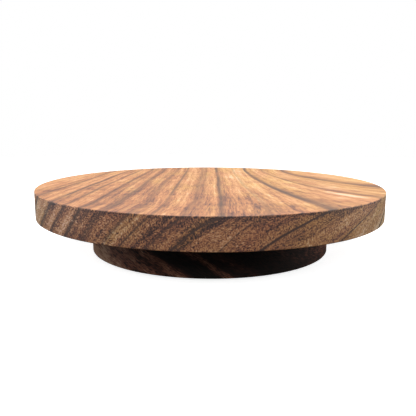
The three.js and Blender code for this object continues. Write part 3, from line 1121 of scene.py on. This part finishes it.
def moulded_feet():
    nodes = numbered("foot")
    low, high, middle = box(nodes[0])
    radius = high.x - middle.x
    recess, recess_top = FOOT_HEAD_RECESS_RADIUS, FOOT_HEAD_RECESS_DEPTH
    groove_inner = recess + SOLE_GROOVE_GAP
    groove_outer = groove_inner + SOLE_GROOVE_WIDTH
    outline = filleted(
        [
            (recess, 0, 0.3),
            (groove_inner, 0, FOOT_FINE_EDGE),
            (groove_inner + SOLE_GROOVE_SLOPE, SOLE_GROOVE_DEPTH, FOOT_FINE_EDGE),
            (groove_outer - SOLE_GROOVE_SLOPE, SOLE_GROOVE_DEPTH, FOOT_FINE_EDGE),
            (groove_outer, 0, FOOT_FINE_EDGE),
            (FOOT_SOLE_RADIUS, 0, 0.5),
            (radius, FOOT_CHAMFER_HEIGHT, 0.5),
            (radius, high.z, 0.3),
            (FOOT_BORE_RADIUS, high.z, FOOT_FINE_EDGE),
            (FOOT_BORE_RADIUS, recess_top, FOOT_FINE_EDGE),
            (recess, recess_top, 0.4),
        ]
    )
    for node, place in zip(nodes, places_of(nodes)):
        foot = lathe(f"moulded_{node}", outline, FOOT_SEGMENTS)
        foot.data.transform(Matrix.Translation(Vector((*place, 0)) * MM))
        smooth(foot)
        finish_piece(foot, node)


# ---- Stage --------------------------------------------------------------------------------------------


def floor():
    """A pale floor that fades into the white surroundings."""
    disc = cylinder("floor", FLOOR_RADIUS, -1, 0, 64)
    paint = Paint("floor")
    nodes, links = paint.tree.nodes, paint.tree.links
    nodes.remove(paint.shader)
    surface = nodes.new("ShaderNodeBsdfDiffuse")
    surface.inputs["Color"].default_value = (FLOOR_GREY, FLOOR_GREY, FLOOR_GREY, 1)
    glow = nodes.new("ShaderNodeEmission")
    glow.inputs["Strength"].default_value = FLOOR_GLOW
    both = nodes.new("ShaderNodeAddShader")
    links.new(surface.outputs[0], both.inputs[0])
    links.new(glow.outputs[0], both.inputs[1])
    fade = nodes.new("ShaderNodeMixShader")
    paint.set(fade.inputs[0], paint.fade(paint.distance_from_axis(), *FLOOR_FADE))
    links.new(both.outputs[0], fade.inputs[1])
    links.new(nodes.new("ShaderNodeBsdfTransparent").outputs[0], fade.inputs[2])
    links.new(fade.outputs[0], nodes["Material Output"].inputs[0])
    paint.material.cycles.emission_sampling = "NONE"
    disc.data.materials.append(paint.material)
    disc.visible_diffuse = False
    disc.visible_glossy = False


def surroundings():
    """White behind the object, and soft light from above only."""
    world = bpy.data.worlds.new("surroundings")
    world.use_nodes = True
    nodes, links = world.node_tree.nodes, world.node_tree.links
    direction = nodes.new("ShaderNodeTexCoord")
    parts = nodes.new("ShaderNodeSeparateXYZ")
    links.new(direction.outputs["Generated"], parts.inputs[0])
    sky = nodes.new("ShaderNodeMapRange")
    links.new(parts.outputs[2], sky.inputs["Value"])
    for name, number in SKY.items():
        sky.inputs[name].default_value = number
    soft = nodes["Background"]
    soft.inputs["Color"].default_value = (1, 1, 1, 1)
    links.new(sky.outputs[0], soft.inputs["Strength"])
    white = nodes.new("ShaderNodeBackground")
    white.inputs["Color"].default_value = (1, 1, 1, 1)
    seen = nodes.new("ShaderNodeLightPath")
    choice = nodes.new("ShaderNodeMixShader")
    links.new(seen.outputs["Is Camera Ray"], choice.inputs[0])
    links.new(soft.outputs[0], choice.inputs[1])
    links.new(white.outputs[0], choice.inputs[2])
    links.new(choice.outputs[0], nodes["World Output"].inputs[0])
    bpy.context.scene.world = world


def softbox(name, place, size, power):
    """A square studio light that points at the object."""
    light = bpy.data.lights.new(name, "AREA")
    light.size = size * MM
    light.energy = power
    lamp = bpy.data.objects.new(name, light)
    bpy.context.scene.collection.objects.link(lamp)
    lamp.location = Vector(place) * MM
    lamp.rotation_euler = (-lamp.location).to_track_quat("-Z", "Y").to_euler()


def camera():
    lens = bpy.data.cameras.new("camera")
    lens.lens = FOCAL_LENGTH
    lens.sensor_width = SENSOR_WIDTH
    lens.clip_start = 0.01
    seen_from = bpy.data.objects.new("camera", lens)
    bpy.context.scene.collection.objects.link(seen_from)
    elevation = math.radians(CAMERA_ELEVATION)
    back = Vector((0, -math.cos(elevation), math.sin(elevation)))
    seen_from.location = (CAMERA_TARGET + back * CAMERA_DISTANCE) * MM
    turn = (-back).to_track_quat("-Z", "Y").to_matrix()
    roll = Matrix.Rotation(math.radians(CAMERA_ROLL), 3, "Z")
    seen_from.rotation_euler = (turn @ roll).to_euler()
    bpy.context.scene.camera = seen_from


MATERIALS = {
    "top_wood": top_wood(),
    "base_wood": base_wood(),
    "bearing_steel": zinc_plate(),
    "screw_steel": screw_steel(),
    "ball_steel": ball_steel(),
    "retainer_nylon": nylon(),
    "foot_rubber": rubber(),
}

turned_top()
turned_base()
pressed_plate("pressed_lower_plate", "lower_plate", upright=True)
pressed_plate("pressed_upper_plate", "upper_plate", upright=False)
rolled_eyelet()
moulded_retainer()
for ball in ball_nodes():
    polished_ball(ball)
threaded_screws("lower_screw", PLATE_SCREW, head_up=True)
threaded_screws("upper_screw", PLATE_SCREW, head_up=False)
threaded_screws("foot_screw", FOOT_SCREW, head_up=False)
moulded_feet()

floor()
surroundings()
for name, (place, size, power) in SOFTBOXES.items():
    softbox(name, place, size, power)
camera()
bpy.context.scene.view_settings.view_transform = "Standard"
